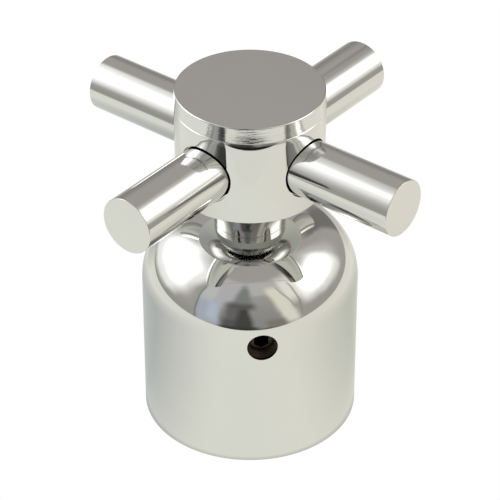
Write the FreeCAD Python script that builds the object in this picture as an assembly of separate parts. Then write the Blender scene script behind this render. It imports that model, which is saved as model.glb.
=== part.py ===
import FreeCAD, Part
import math
import os

# Cross handle for a tap: a bell, a hub with a neck, a top cap and four bars.
# Millimetres, +Z up. The origin is the centre of the bell's lower rim, the grub screw
# faces -Y and the bars lie on the diagonals between X and Y.

# Bell
bell_radius = 23.0
bell_wall = 3.0
skirt_height = 32.5
rim_break = 0.2
crown_flat = 1.0
boss_wall = 3.0
boss_bottom = 20.0

# Neck and hub
neck_radius = 7.5
neck_height = 9.1
neck_break = 0.15
hub_radius = 15.55
hub_height = 19.1
hub_break = 0.25
hub_floor = 4.0
roll_radius = 8.0
roll_angle = 10.5
roll_break = 0.2

# Keyed spigot that sets the hub square on the bell
spigot_shoulder = 2.3
spigot_length = 3.0
spigot_flat = 1.0
spigot_end_gap = 0.3

# Top cap and its ring
cap_height = 3.6
cap_break = 0.3
cap_seat = 6.0
plug_length = 2.8
plug_end_gap = 0.4
ring_section = 1.6
ring_side_gap = 0.15

# Bars and their studs
arm_radius = 6.0
arm_reach = 38.7
arm_rise = 9.6
arm_break = 0.12
arm_seat_depth = 4.5
arm_gap = 0.35
stud_radius = 2.5
stud_grip = 7.0
stud_break = 0.5
stud_end_gap = 0.8

# Screw that holds the hub on the bell
screw_radius = 3.0
screw_head_radius = 5.0
screw_head_height = 6.0
screw_socket_flats = 5.0
screw_socket_depth = 3.0
screw_engagement = 7.5
screw_break = 0.6
screw_hole_gap = 0.3
head_well_gap = 0.6
washer_radius = 4.95
washer_height = 1.6
washer_split = 1.2

# Splined bush that fits the valve spindle
spline_teeth = 20
spline_tip_radius = 3.7
spline_depth = 0.5
spline_land_share = 0.42
spline_valley_share = 0.26
bush_wall = 2.3
bush_above_grub = 4.4
bush_end_gap = 0.3
flange_width = 1.6
flange_height = 1.5

# Grub screw in the side of the bell
grub_radius = 3.0
grub_height = 30.1
grub_recess = 2.5
grub_tip_gap = 0.3
grub_tip_break = 1.0
grub_socket_flats = 3.0
grub_socket_depth = 3.5
grub_break = 0.35
grub_mouth = 0.15
grub_wall = 2.2
grub_window_gap = 0.3

# Radial clearance of threads, keyed faces and pressed pieces
fit_gap = 0.03

# Overlap of cutting tools past the faces that they open
past = 1.0

bell_inner_radius = bell_radius - bell_wall
crown_radius = neck_radius + crown_flat
shoulder_radius = bell_radius - crown_radius
crown_height = skirt_height + shoulder_radius
spigot_radius = neck_radius - spigot_shoulder
spigot_half_width = spigot_radius - spigot_flat
pocket_floor = crown_height - spigot_length - spigot_end_gap
spline_root_radius = spline_tip_radius + spline_depth
bush_radius = spline_root_radius + bush_wall
boss_radius = bush_radius + boss_wall
bush_top = grub_height + bush_above_grub
bush_bore_top = bush_top + bush_end_gap
grub_tip = spline_root_radius + grub_tip_gap
grub_end = bell_radius - grub_recess

hub_bottom = crown_height + neck_height
hub_top = hub_bottom + hub_height
well_floor = hub_bottom + hub_floor
well_radius = screw_head_radius + head_well_gap
screw_seat = well_floor + washer_height
screw_hole_radius = screw_radius + screw_hole_gap
screw_tip = pocket_floor - screw_engagement
plug_bore_radius = hub_radius - cap_seat
plug_radius = plug_bore_radius - fit_gap
plug_bottom = hub_top - plug_length
plug_bore_floor = plug_bottom - plug_end_gap
ring_groove_radius = plug_bore_radius - ring_section
ring_middle = hub_top - plug_length / 2
cap_top = hub_top + cap_height

arm_axis_height = hub_bottom + arm_rise
arm_seat_radius = hub_radius - arm_seat_depth
stud_inner_end = well_radius + stud_end_gap
stud_outer_end = arm_seat_radius + stud_grip

axis_up = FreeCAD.Vector(0, 0, 1)
origin = FreeCAD.Vector(0, 0, 0)
FULL_TURN = 360.0


def corner(radius, height):
    return FreeCAD.Vector(radius, 0, height)


def turned(edges):
    """Solid of revolution about Z from the edges of a closed half section."""
    section = Part.Face(Part.Wire(edges))
    return section.revolve(origin, axis_up, FULL_TURN)


def straight(points):
    """Straight edges from each point to the next."""
    return [Part.makeLine(start, end) for start, end in zip(points, points[1:])]


def rod(radius, bottom, top):
    return Part.makeCylinder(radius, top - bottom, corner(0, bottom))


def broken_rod(radius, bottom, top, bottom_break, top_break):
    """Rod along Z with a small bevel at each end."""
    points = [
        corner(0, bottom),
        corner(radius - bottom_break, bottom),
        corner(radius, bottom + bottom_break),
        corner(radius, top - top_break),
        corner(radius - top_break, top),
        corner(0, top),
        corner(0, bottom),
    ]
    return turned(straight(points))


def hexagon(across_flats, bottom, top):
    """Hexagonal bar along Z."""
    corner_radius = across_flats / math.sqrt(3)
    points = []
    for side in range(7):
        angle = math.radians(60 * side)
        points.append(
            FreeCAD.Vector(corner_radius * math.cos(angle), corner_radius * math.sin(angle), bottom)
        )
    outline = Part.Face(Part.makePolygon(points))
    return outline.extrude(FreeCAD.Vector(0, 0, top - bottom))


def keyed_rod(radius, half_width, bottom, top):
    """Rod along Z with two flats that face +X and -X."""
    slab = Part.makeBox(
        2 * half_width, 2 * radius, top - bottom, FreeCAD.Vector(-half_width, -radius, bottom)
    )
    return rod(radius, bottom, top).common(slab)


def laid(shape, heading, height):
    """Turn a shape made along Z so that it runs out along a heading, at a height."""
    placed = shape.copy()
    placed.rotate(origin, FreeCAD.Vector(0, 1, 0), 90)
    placed.rotate(origin, axis_up, heading)
    placed.translate(FreeCAD.Vector(0, 0, height))
    return placed


def dome(radius, arc_radius, bottom, edge_break):
    """Solid skirt of one radius, with its shoulder rounded over to the flat crown."""
    top = skirt_height + arc_radius
    arc_middle = corner(
        crown_radius + arc_radius * math.sqrt(0.5), skirt_height + arc_radius * math.sqrt(0.5)
    )
    shoulder = Part.Arc(corner(radius, skirt_height), arc_middle, corner(crown_radius, top))
    rim = [
        corner(0, bottom),
        corner(radius - edge_break, bottom),
        corner(radius, bottom + edge_break),
        corner(radius, skirt_height),
    ]
    crown = [corner(crown_radius, top), corner(0, top), corner(0, bottom)]
    return turned(straight(rim) + [shoulder.toShape()] + straight(crown))


GRUB_HEADING = -90.0


def make_bell():
    """Cast bell: a shell with a middle boss, and a pillar that carries the grub screw."""
    outside = dome(bell_radius, shoulder_radius, 0, rim_break)
    inside = dome(bell_inner_radius, shoulder_radius - bell_wall, -rim_break, rim_break / 2)
    boss = rod(boss_radius, boss_bottom, crown_height - bell_wall / 2)
    pillar_end = bell_radius - bell_wall / 2
    pillar = laid(rod(grub_radius + grub_wall, 0, pillar_end), GRUB_HEADING, grub_height)
    bell = outside.cut(inside).fuse([boss, pillar])
    bush_bore = rod(bush_radius + fit_gap, boss_bottom - boss_radius, bush_bore_top)
    screw_hole = rod(screw_radius + fit_gap, bush_bore_top - past, pocket_floor + past)
    pocket = keyed_rod(
        spigot_radius + fit_gap, spigot_half_width + fit_gap, pocket_floor, crown_height + past
    )
    grub_hole = laid(rod(grub_radius + fit_gap, 0, bell_radius + past), GRUB_HEADING, grub_height)
    mouth = Part.makeCone(
        grub_radius, grub_radius + grub_mouth + past, grub_mouth + past,
        corner(0, bell_radius - grub_mouth),
    )
    mouth = laid(mouth, GRUB_HEADING, grub_height)
    return bell.cut([bush_bore, screw_hole, pocket, grub_hole, mouth]).removeSplitter()


ARM_HEADINGS = {
    "back_right": 45.0,
    "back_left": 135.0,
    "front_left": 225.0,
    "front_right": 315.0,
}


def make_hub():
    """Turned hub and neck, with a rolled upper edge and a seat for each bar."""
    roll = math.radians(roll_angle)
    roll_end = hub_top - roll_break
    roll_start = roll_end - roll_radius * math.sin(roll)
    roll_centre = hub_radius - roll_radius
    half_roll = corner(
        roll_centre + roll_radius * math.cos(roll / 2), roll_start + roll_radius * math.sin(roll / 2)
    )
    rolled_radius = roll_centre + roll_radius * math.cos(roll)
    rolled_edge = Part.Arc(corner(hub_radius, roll_start), half_roll, corner(rolled_radius, roll_end))
    lower = [
        corner(0, crown_height),
        corner(neck_radius - neck_break, crown_height),
        corner(neck_radius, crown_height + neck_break),
        corner(neck_radius, hub_bottom),
        corner(hub_radius - hub_break, hub_bottom),
        corner(hub_radius, hub_bottom + hub_break),
        corner(hub_radius, roll_start),
    ]
    upper = [
        corner(rolled_radius, roll_end),
        corner(rolled_radius - roll_break, hub_top),
        corner(0, hub_top),
        corner(0, crown_height),
    ]
    hub = turned(straight(lower) + [rolled_edge.toShape()] + straight(upper))
    spigot = keyed_rod(
        spigot_radius, spigot_half_width, crown_height - spigot_length, crown_height + neck_break
    )
    hub = hub.fuse(spigot)
    cuts = [
        rod(screw_hole_radius, crown_height - spigot_length - past, well_floor + past),
        rod(well_radius, well_floor, hub_top),
        rod(plug_bore_radius, plug_bore_floor, hub_top + past),
    ]
    for heading in ARM_HEADINGS.values():
        seat = rod(arm_radius + arm_gap, arm_seat_radius, hub_radius + past)
        stud_hole = rod(stud_radius + fit_gap, 0, arm_seat_radius + past)
        cuts.append(laid(seat, heading, arm_axis_height))
        cuts.append(laid(stud_hole, heading, arm_axis_height))
    return hub.cut(cuts).removeSplitter()


def make_cap():
    """Turned disc with a grooved plug below it."""
    groove_half = ring_section / 2 + ring_side_gap
    points = [
        corner(0, plug_bottom),
        corner(plug_radius - cap_break, plug_bottom),
        corner(plug_radius, plug_bottom + cap_break),
        corner(plug_radius, ring_middle - groove_half),
        corner(ring_groove_radius, ring_middle - groove_half),
        corner(ring_groove_radius, ring_middle + groove_half),
        corner(plug_radius, ring_middle + groove_half),
        corner(plug_radius, hub_top),
        corner(hub_radius - cap_break / 2, hub_top),
        corner(hub_radius, hub_top + cap_break / 2),
        corner(hub_radius, cap_top - cap_break),
        corner(hub_radius - cap_break, cap_top),
        corner(0, cap_top),
        corner(0, plug_bottom),
    ]
    return turned(straight(points))


def make_cap_ring():
    """Rubber ring that fills the groove of the cap out to the bore of the hub."""
    section_radius = ring_section / 2 - fit_gap
    middle_radius = ring_groove_radius + ring_section / 2
    return Part.makeTorus(middle_radius, section_radius, corner(0, ring_middle))


def make_arm(heading):
    """Plain round bar, tapped at its inner end for the stud."""
    bar = broken_rod(arm_radius, arm_seat_radius, arm_reach, arm_break, arm_break)
    tapped = rod(stud_radius + fit_gap, arm_seat_radius - past, stud_outer_end + stud_end_gap)
    return laid(bar.cut(tapped), heading, arm_axis_height)


def make_stud(heading):
    """Headless stud between the hub and a bar."""
    stud = broken_rod(stud_radius, stud_inner_end, stud_outer_end, stud_break, stud_break)
    return laid(stud, heading, arm_axis_height)


def make_hub_screw():
    """Socket head screw, down through the hub into the bell."""
    head_top = screw_seat + screw_head_height
    points = [
        corner(0, screw_tip),
        corner(screw_radius - screw_break, screw_tip),
        corner(screw_radius, screw_tip + screw_break),
        corner(screw_radius, screw_seat),
        corner(screw_head_radius, screw_seat),
        corner(screw_head_radius, head_top - screw_break),
        corner(screw_head_radius - screw_break, head_top),
        corner(0, head_top),
        corner(0, screw_tip),
    ]
    socket = hexagon(screw_socket_flats, head_top - screw_socket_depth, head_top + past)
    return turned(straight(points)).cut(socket)


def make_washer():
    """Split spring washer, pressed flat."""
    ring = rod(washer_radius, well_floor, screw_seat)
    hole = rod(screw_hole_radius, well_floor - past, screw_seat + past)
    split = Part.makeBox(
        washer_radius + past, washer_split, washer_height + 2 * past,
        FreeCAD.Vector(0, -washer_split / 2, well_floor - past),
    )
    return ring.cut([hole, split])


def spline_outline(bottom):
    """Closed outline of the toothed socket: a land, a flank, a valley and a flank for each tooth."""
    pitch = 2 * math.pi / spline_teeth
    half_land = pitch * spline_land_share / 2
    half_valley = pitch * spline_valley_share / 2

    def at(radius, angle):
        return FreeCAD.Vector(radius * math.cos(angle), radius * math.sin(angle), bottom)

    edges = []
    for tooth in range(spline_teeth):
        land = tooth * pitch
        valley = land + pitch / 2
        land_end = at(spline_tip_radius, land + half_land)
        valley_start = at(spline_root_radius, valley - half_valley)
        valley_end = at(spline_root_radius, valley + half_valley)
        next_land = at(spline_tip_radius, land + pitch - half_land)
        land_start = at(spline_tip_radius, land - half_land)
        edges.append(Part.Arc(land_start, at(spline_tip_radius, land), land_end).toShape())
        edges.append(Part.makeLine(land_end, valley_start))
        edges.append(Part.Arc(valley_start, at(spline_root_radius, valley), valley_end).toShape())
        edges.append(Part.makeLine(valley_end, next_land))
    return Part.Face(Part.Wire(edges))


def make_bush():
    """Flanged brass bush with the splined socket and a window for the grub screw."""
    flange_bottom = boss_bottom - flange_height
    body = rod(bush_radius, flange_bottom, bush_top)
    flange = rod(bush_radius + flange_width, flange_bottom, boss_bottom)
    socket = spline_outline(flange_bottom - past)
    socket = socket.extrude(FreeCAD.Vector(0, 0, bush_top - flange_bottom + 2 * past))
    window = laid(
        rod(grub_radius + grub_window_gap, 0, bush_radius + past), GRUB_HEADING, grub_height
    )
    return body.fuse(flange).cut([socket, window]).removeSplitter()


def make_grub_screw():
    """Headless socket screw whose tip stops at the spindle."""
    screw = broken_rod(grub_radius, grub_tip, grub_end, grub_tip_break, grub_break)
    socket = hexagon(grub_socket_flats, grub_end - grub_socket_depth, grub_end + past)
    return laid(screw.cut(socket), GRUB_HEADING, grub_height)


pieces = {
    "bell": make_bell(),
    "cross_hub": make_hub(),
    "top_cap": make_cap(),
    "cap_o_ring": make_cap_ring(),
    "hub_screw": make_hub_screw(),
    "spring_washer": make_washer(),
    "spline_bush": make_bush(),
    "grub_screw": make_grub_screw(),
}
for place, heading in ARM_HEADINGS.items():
    pieces["arm_" + place] = make_arm(heading)
    pieces["stud_" + place] = make_stud(heading)

os.makedirs("parts", exist_ok=True)
for node, shape in pieces.items():
    shape.exportStep("parts/" + node + ".step")
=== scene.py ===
import math

import bmesh
import bpy
from mathutils import Matrix, Vector


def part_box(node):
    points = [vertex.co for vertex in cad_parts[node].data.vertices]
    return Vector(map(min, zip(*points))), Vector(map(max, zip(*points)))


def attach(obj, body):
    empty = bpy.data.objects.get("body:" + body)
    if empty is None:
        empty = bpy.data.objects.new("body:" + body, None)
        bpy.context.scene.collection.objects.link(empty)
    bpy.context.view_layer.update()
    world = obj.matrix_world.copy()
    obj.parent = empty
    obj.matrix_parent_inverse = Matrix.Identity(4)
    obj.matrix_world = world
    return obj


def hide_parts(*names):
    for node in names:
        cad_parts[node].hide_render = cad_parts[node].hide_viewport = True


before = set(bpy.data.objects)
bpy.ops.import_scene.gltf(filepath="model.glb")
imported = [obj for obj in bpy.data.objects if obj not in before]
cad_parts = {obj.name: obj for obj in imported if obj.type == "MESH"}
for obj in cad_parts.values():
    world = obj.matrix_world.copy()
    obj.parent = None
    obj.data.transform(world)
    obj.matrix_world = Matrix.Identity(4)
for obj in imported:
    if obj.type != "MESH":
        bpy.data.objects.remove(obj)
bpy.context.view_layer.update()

# Bell
# The hollow skirt that covers the valve head: brass, cast with a boss in its middle, then turned,
# polished to a mirror and chrome plated outside. The hub stands in a keyed pocket in its crown, and
# a pillar inside carries the tapped side hole of the grub screw, where the bare brass shows. Its
# colour there is darkened almost to black with painted shade, for the shade inside the hole.
bell_low, bell_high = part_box("bell")
bush_low, bush_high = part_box("spline_bush")
hub_low, hub_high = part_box("cross_hub")
grub_low, grub_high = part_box("grub_screw")

fit_gap = 0.00003
end_gap = 0.0003
bell_radius = bell_high.x
crown_height = bell_high.z
rim_height = bell_low.z
bell_wall = 0.003
rim_round = 0.0001
shoulder_round = 0.0145
boss_wall = 0.003
boss_radius = 0.0095
boss_bottom = 0.020
bush_radius = boss_radius - boss_wall
bush_bore_top = bush_high.z + end_gap
grub_radius = grub_high.x
grub_height = (grub_low.z + grub_high.z) / 2
grub_thread_pitch = 0.001
grub_thread_depth = 0.00055
pillar_wall = 0.0022
pillar_radius = grub_radius + pillar_wall
mouth_gap = 0.0002
mouth_radius = grub_radius + mouth_gap
mouth_depth = 0.0007
screw_radius = 0.003
spigot_radius = 0.0052
spigot_half_width = 0.0042
pocket_floor = hub_low.z - end_gap

CASTING_ROUND = 0.0008
TINY_ROUND = 0.0001
SEGMENTS = 256
SMALL_SEGMENTS = 128
BORE_SEGMENTS = 96
POLE = 1e-9
PAST = 0.001
GRUB_HEADING = math.radians(-90)


def rounded_outline(corners, longest=0.002, arc_step=0.0005, least_steps=6):
    """Points along a closed outline. A corner is its two coordinates and its rounding."""
    support = 0.00004
    arcs = []
    for index, (x, y, rounding) in enumerate(corners):
        here = Vector((x, y))
        if rounding == 0:
            arcs.append([here])
            continue
        back = (Vector(corners[index - 1][:2]) - here).normalized()
        ahead = (Vector(corners[(index + 1) % len(corners)][:2]) - here).normalized()
        half_angle = back.angle(ahead) / 2
        reach = rounding / math.tan(half_angle)
        centre = here + (back + ahead).normalized() * rounding / math.sin(half_angle)
        start = here + back * reach - centre
        end = here + ahead * reach - centre
        turn = start.angle_signed(end)
        steps = least_steps + round(rounding * abs(turn) / arc_step)
        turns = [Matrix.Rotation(-turn * step / steps, 2) for step in range(steps + 1)]
        arcs.append([centre + part_turn @ start for part_turn in turns])
    points = []
    for arc, following in zip(arcs, arcs[1:] + arcs[:1]):
        points.extend(arc)
        run = following[0] - arc[-1]
        if run.length > 4 * support:
            pieces = math.ceil(run.length / longest)
            stops = [support / run.length]
            stops += [piece / pieces for piece in range(1, pieces)]
            stops += [1 - support / run.length]
            points.extend(arc[-1] + run * stop for stop in stops)
    return points


def closed_mesh(name, shape):
    """Mesh of a closed shape, with its faces turned outwards."""
    bmesh.ops.recalc_face_normals(shape, faces=shape.faces)
    mesh = bpy.data.meshes.new(name)
    shape.to_mesh(mesh)
    shape.free()
    return mesh


def turned_mesh(name, corners, segments=SEGMENTS):
    """Closed mesh turned about Z from a half section that runs outwards along its bottom."""
    shape = bmesh.new()
    rings = []
    for radius, height in rounded_outline(corners):
        around = 1 if radius < POLE else segments
        angles = [2 * math.pi * step / segments for step in range(around)]
        places = [(radius * math.cos(angle), radius * math.sin(angle), height) for angle in angles]
        rings.append([shape.verts.new(place) for place in places])
    for lower, upper in zip(rings, rings[1:] + rings[:1]):
        for step in range(segments):
            onward = (step + 1) % segments
            loop = [lower[step % len(lower)], lower[onward % len(lower)]]
            loop += [upper[onward % len(upper)], upper[step % len(upper)]]
            loop = list(dict.fromkeys(loop))
            if len(loop) > 2:
                shape.faces.new(loop)
    return closed_mesh(name, shape)


def prism_mesh(name, outline, bottom, top):
    """Closed upright block with a given outline."""
    shape = bmesh.new()
    lower = [shape.verts.new((x, y, bottom)) for x, y in outline]
    upper = [shape.verts.new((x, y, top)) for x, y in outline]
    shape.faces.new(lower)
    shape.faces.new(upper)
    for index in range(len(outline)):
        shape.faces.new((lower[index - 1], lower[index], upper[index], upper[index - 1]))
    return closed_mesh(name, shape)


def keyed_outline(radius, half_width, steps=96):
    """Outline of a round bar with two flats that face +X and -X."""
    outline = []
    for step in range(steps):
        angle = 2 * math.pi * (step + 0.5) / steps
        across = radius * math.cos(angle)
        outline.append((max(-half_width, min(half_width, across)), radius * math.sin(angle)))
    return outline


def added(name, mesh, *materials):
    """Object made of a mesh, at the origin."""
    for material in materials:
        mesh.materials.append(material)
    piece = bpy.data.objects.new(name, mesh)
    bpy.context.scene.collection.objects.link(piece)
    return piece


def laid_along(heading, height):
    """Turn from the Z axis to a heading in the level plane, at a height."""
    return (
        Matrix.Translation((0, 0, height))
        @ Matrix.Rotation(heading, 4, "Z")
        @ Matrix.Rotation(math.radians(90), 4, "Y")
    )


def finished_mesh(piece):
    """Put what the modifiers make in place of the piece's own mesh."""
    bpy.context.view_layer.update()
    graph = bpy.context.evaluated_depsgraph_get()
    mesh = bpy.data.meshes.new_from_object(piece.evaluated_get(graph))
    piece.modifiers.clear()
    piece.data = mesh


def shaped(piece, tool, operation):
    """Cut a tool out of a piece, or join it on, and drop the tool."""
    change = piece.modifiers.new("shape", "BOOLEAN")
    change.operation = operation
    change.solver = "EXACT"
    change.material_mode = "TRANSFER"
    change.object = tool
    finished_mesh(piece)
    bpy.data.objects.remove(tool)


def smoothed(piece, sharpest=math.radians(35)):
    """Smooth shading, with the real edges kept crisp."""
    piece.data.shade_smooth()
    piece.data.set_sharp_from_angle(angle=sharpest)


def fed(tree, socket, value):
    """Link a socket to the one that it takes its value from, or set it to a plain value."""
    if isinstance(value, bpy.types.NodeSocket):
        tree.links.new(value, socket)
    else:
        socket.default_value = value


def reckoned(tree, operation, *values):
    """Result of a maths node in a tree, from sockets or plain numbers."""
    node = tree.nodes.new("ShaderNodeMath")
    node.operation = operation
    for socket, value in zip(node.inputs, values):
        fed(tree, socket, value)
    return node.outputs["Value"]


def clamped_rise(tree, value, low, high):
    """Share of the way from one value to another, kept between 0 and 1."""
    node = tree.nodes.new("ShaderNodeMapRange")
    for name, given in (("Value", value), ("From Min", low), ("From Max", high)):
        fed(tree, node.inputs[name], given)
    return node.outputs["Result"]


def named_sockets(tree, in_out, names, socket_type):
    """Give a node tree named sockets of one type, on its way in or out."""
    for name in names:
        tree.interface.new_socket(name, in_out=in_out, socket_type=socket_type)


def ended_in_material(tree, geometry, given):
    """Close a geometry tree: plain geometry that carries the given material."""
    realized = tree.nodes.new("GeometryNodeRealizeInstances")
    coated = tree.nodes.new("GeometryNodeSetMaterial")
    result = tree.nodes.new("NodeGroupOutput")
    tree.links.new(geometry, realized.inputs["Geometry"])
    tree.links.new(realized.outputs["Geometry"], coated.inputs["Geometry"])
    tree.links.new(given.outputs["Material"], coated.inputs["Material"])
    tree.links.new(coated.outputs["Geometry"], result.inputs["Geometry"])


def threaded_rod_tree():
    """Rod along Z, drawn in and out along a helix, whose thread runs out at both ends."""
    tree = bpy.data.node_groups.new("threaded_rod", "GeometryNodeTree")
    named_sockets(tree, "OUTPUT", ["Geometry"], "NodeSocketGeometry")
    sizes = ["Radius", "Thread Depth", "Pitch", "Bottom", "Top", "Run Out"]
    named_sockets(tree, "INPUT", sizes, "NodeSocketFloat")
    named_sockets(tree, "INPUT", ["Sides", "Rows"], "NodeSocketInt")
    named_sockets(tree, "INPUT", ["Material"], "NodeSocketMaterial")
    nodes, links = tree.nodes, tree.links
    given = nodes.new("NodeGroupInput")
    size = given.outputs
    rod = nodes.new("GeometryNodeMeshCylinder")
    links.new(size["Sides"], rod.inputs["Vertices"])
    links.new(size["Rows"], rod.inputs["Side Segments"])
    links.new(size["Radius"], rod.inputs["Radius"])
    links.new(reckoned(tree, "SUBTRACT", size["Top"], size["Bottom"]), rod.inputs["Depth"])
    place = nodes.new("GeometryNodeInputPosition")
    parts = nodes.new("ShaderNodeSeparateXYZ")
    links.new(place.outputs["Position"], parts.inputs["Vector"])
    middle = reckoned(tree, "MULTIPLY", reckoned(tree, "ADD", size["Top"], size["Bottom"]), 0.5)
    height = reckoned(tree, "ADD", parts.outputs["Z"], middle)
    turned = reckoned(tree, "ARCTAN2", parts.outputs["Y"], parts.outputs["X"])
    turns = reckoned(tree, "DIVIDE", turned, 2 * math.pi)
    phase = reckoned(tree, "SUBTRACT", reckoned(tree, "DIVIDE", height, size["Pitch"]), turns)
    root_end = 0.07
    crest_start = 0.43
    flank = clamped_rise(tree, reckoned(tree, "PINGPONG", phase, 0.5), root_end, crest_start)
    above = reckoned(tree, "SUBTRACT", height, size["Bottom"])
    below = reckoned(tree, "SUBTRACT", size["Top"], height)
    full = clamped_rise(tree, reckoned(tree, "MINIMUM", above, below), 0.0, size["Run Out"])
    cut = reckoned(tree, "SUBTRACT", 1.0, reckoned(tree, "MULTIPLY", flank, full))
    drawn_in = reckoned(tree, "MULTIPLY", cut, size["Thread Depth"])
    share = reckoned(tree, "SUBTRACT", 1.0, reckoned(tree, "DIVIDE", drawn_in, size["Radius"]))
    moved = nodes.new("ShaderNodeCombineXYZ")
    links.new(reckoned(tree, "MULTIPLY", parts.outputs["X"], share), moved.inputs["X"])
    links.new(reckoned(tree, "MULTIPLY", parts.outputs["Y"], share), moved.inputs["Y"])
    links.new(height, moved.inputs["Z"])
    drawn = nodes.new("GeometryNodeSetPosition")
    links.new(rod.outputs["Mesh"], drawn.inputs["Geometry"])
    links.new(moved.outputs["Vector"], drawn.inputs["Position"])
    ended_in_material(tree, drawn.outputs["Geometry"], given)
    return tree


def grown(name, tree, sizes, mesh=None):
    """Plain mesh piece that a geometry node tree makes from its named inputs."""
    piece = added(name, mesh or bpy.data.meshes.new(name))
    change = piece.modifiers.new("grow", "NODES")
    change.node_group = tree
    for item in tree.interface.items_tree:
        if item.in_out == "INPUT" and item.name in sizes:
            change[item.identifier] = sizes[item.name]
    finished_mesh(piece)
    return piece


def polish_marks_group():
    """Cloudy tint, roughness and fine height that wiping and buffing leave on a metal."""
    group = bpy.data.node_groups.new("polish_marks", "ShaderNodeTree")
    sizes = ["Cloud Scale", "Grain Scale", "Least Roughness", "Most Roughness"]
    named_sockets(group, "INPUT", sizes, "NodeSocketFloat")
    named_sockets(group, "OUTPUT", ["Cloud", "Roughness", "Height"], "NodeSocketFloat")
    nodes, links = group.nodes, group.links
    given = nodes.new("NodeGroupInput")
    result = nodes.new("NodeGroupOutput")
    place = nodes.new("ShaderNodeTexCoord")
    cloud = nodes.new("ShaderNodeTexNoise")
    cloud.inputs["Detail"].default_value = 3.0
    grain = nodes.new("ShaderNodeTexNoise")
    grain.inputs["Detail"].default_value = 6.0
    grain.inputs["Roughness"].default_value = 0.65
    spread = nodes.new("ShaderNodeMapRange")
    spread.inputs["From Min"].default_value = 0.3
    spread.inputs["From Max"].default_value = 0.7
    links.new(place.outputs["Object"], cloud.inputs["Vector"])
    links.new(place.outputs["Object"], grain.inputs["Vector"])
    links.new(given.outputs["Cloud Scale"], cloud.inputs["Scale"])
    links.new(given.outputs["Grain Scale"], grain.inputs["Scale"])
    links.new(grain.outputs["Fac"], spread.inputs["Value"])
    links.new(given.outputs["Least Roughness"], spread.inputs["To Min"])
    links.new(given.outputs["Most Roughness"], spread.inputs["To Max"])
    links.new(cloud.outputs["Fac"], result.inputs["Cloud"])
    links.new(spread.outputs["Result"], result.inputs["Roughness"])
    links.new(grain.outputs["Fac"], result.inputs["Height"])
    return group


polish_marks = polish_marks_group()


def marked_surface(name, light, dark, cloud_scale, grain_scale, roughness, relief, metallic=1.0):
    """Material whose tint, gloss and surface vary as handling, wiping and tools leave them."""
    material = bpy.data.materials.new(name)
    material.use_nodes = True
    nodes, links = material.node_tree.nodes, material.node_tree.links
    shader = nodes["Principled BSDF"]
    shader.inputs["Metallic"].default_value = metallic
    marks = nodes.new("ShaderNodeGroup")
    marks.node_tree = polish_marks
    marks.inputs["Cloud Scale"].default_value = cloud_scale
    marks.inputs["Grain Scale"].default_value = grain_scale
    marks.inputs["Least Roughness"].default_value = roughness[0]
    marks.inputs["Most Roughness"].default_value = roughness[1]
    tint = nodes.new("ShaderNodeMix")
    tint.data_type = "RGBA"
    tint.inputs["A"].default_value = (*dark, 1.0)
    tint.inputs["B"].default_value = (*light, 1.0)
    bump = nodes.new("ShaderNodeBump")
    bump.inputs["Strength"].default_value = 1.0
    bump.inputs["Distance"].default_value = relief
    links.new(marks.outputs["Cloud"], tint.inputs["Factor"])
    links.new(tint.outputs["Result"], shader.inputs["Base Color"])
    links.new(marks.outputs["Roughness"], shader.inputs["Roughness"])
    links.new(marks.outputs["Height"], bump.inputs["Height"])
    links.new(bump.outputs["Normal"], shader.inputs["Normal"])
    return material


plate_light = (0.69, 0.69, 0.675)
plate_dark = (0.65, 0.65, 0.635)
chrome = marked_surface(
    "polished_chrome", light=plate_light, dark=plate_dark,
    cloud_scale=60.0, grain_scale=900.0, roughness=(0.03, 0.06), relief=0.0000002,
)
dull_plate = marked_surface(
    "dull_plate", light=(0.55, 0.53, 0.49), dark=(0.38, 0.35, 0.31),
    cloud_scale=180.0, grain_scale=2500.0, roughness=(0.3, 0.5), relief=0.000012,
)
# Painted shade: the tapped brass of the side hole is made near black, for the shade inside the hole.
shaded_hole_brass = marked_surface(
    "shaded_hole_brass", light=(0.05, 0.035, 0.025), dark=(0.02, 0.015, 0.012),
    cloud_scale=900.0, grain_scale=3000.0, roughness=(0.28, 0.5), relief=0.000004,
)

bell_inner_radius = bell_radius - bell_wall
inner_crown = crown_height - bell_wall
bell_section = [
    (screw_radius + fit_gap, crown_height, TINY_ROUND),
    (bell_radius, crown_height, shoulder_round),
    (bell_radius, rim_height, rim_round),
    (bell_inner_radius, rim_height, rim_round),
    (bell_inner_radius, inner_crown, shoulder_round - bell_wall),
    (boss_radius, inner_crown, CASTING_ROUND),
    (boss_radius, boss_bottom, TINY_ROUND),
    (bush_radius + fit_gap, boss_bottom, TINY_ROUND),
    (bush_radius + fit_gap, bush_bore_top, 0),
    (screw_radius + fit_gap, bush_bore_top, 0),
]
bell = added("bell_skirt", turned_mesh("bell_skirt", bell_section), chrome, dull_plate)
for face in bell.data.polygons:
    outward = Vector((face.center.x, face.center.y, 0.0)).normalized()
    on_boss = Vector(face.center[:2]).length < boss_radius + CASTING_ROUND
    faces_inward = face.normal.dot(outward) + face.normal.z < 0
    if rim_height + rim_round < face.center.z < inner_crown + TINY_ROUND and (on_boss or faces_inward):
        face.material_index = 1

grub_axis = laid_along(GRUB_HEADING, grub_height)
pillar_section = [
    (0.0, bush_radius + PAST, 0),
    (pillar_radius, bush_radius + PAST, 0),
    (pillar_radius, bell_inner_radius + bell_wall / 2, 0),
    (0.0, bell_inner_radius + bell_wall / 2, 0),
]
pillar = added("pillar", turned_mesh("pillar", pillar_section, BORE_SEGMENTS), dull_plate)
pillar.data.transform(grub_axis)
shaped(bell, pillar, "UNION")

pocket_outline = keyed_outline(spigot_radius + fit_gap, spigot_half_width + fit_gap)
pocket = added(
    "pocket", prism_mesh("pocket", pocket_outline, pocket_floor, crown_height + PAST), dull_plate
)
shaped(bell, pocket, "DIFFERENCE")

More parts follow.
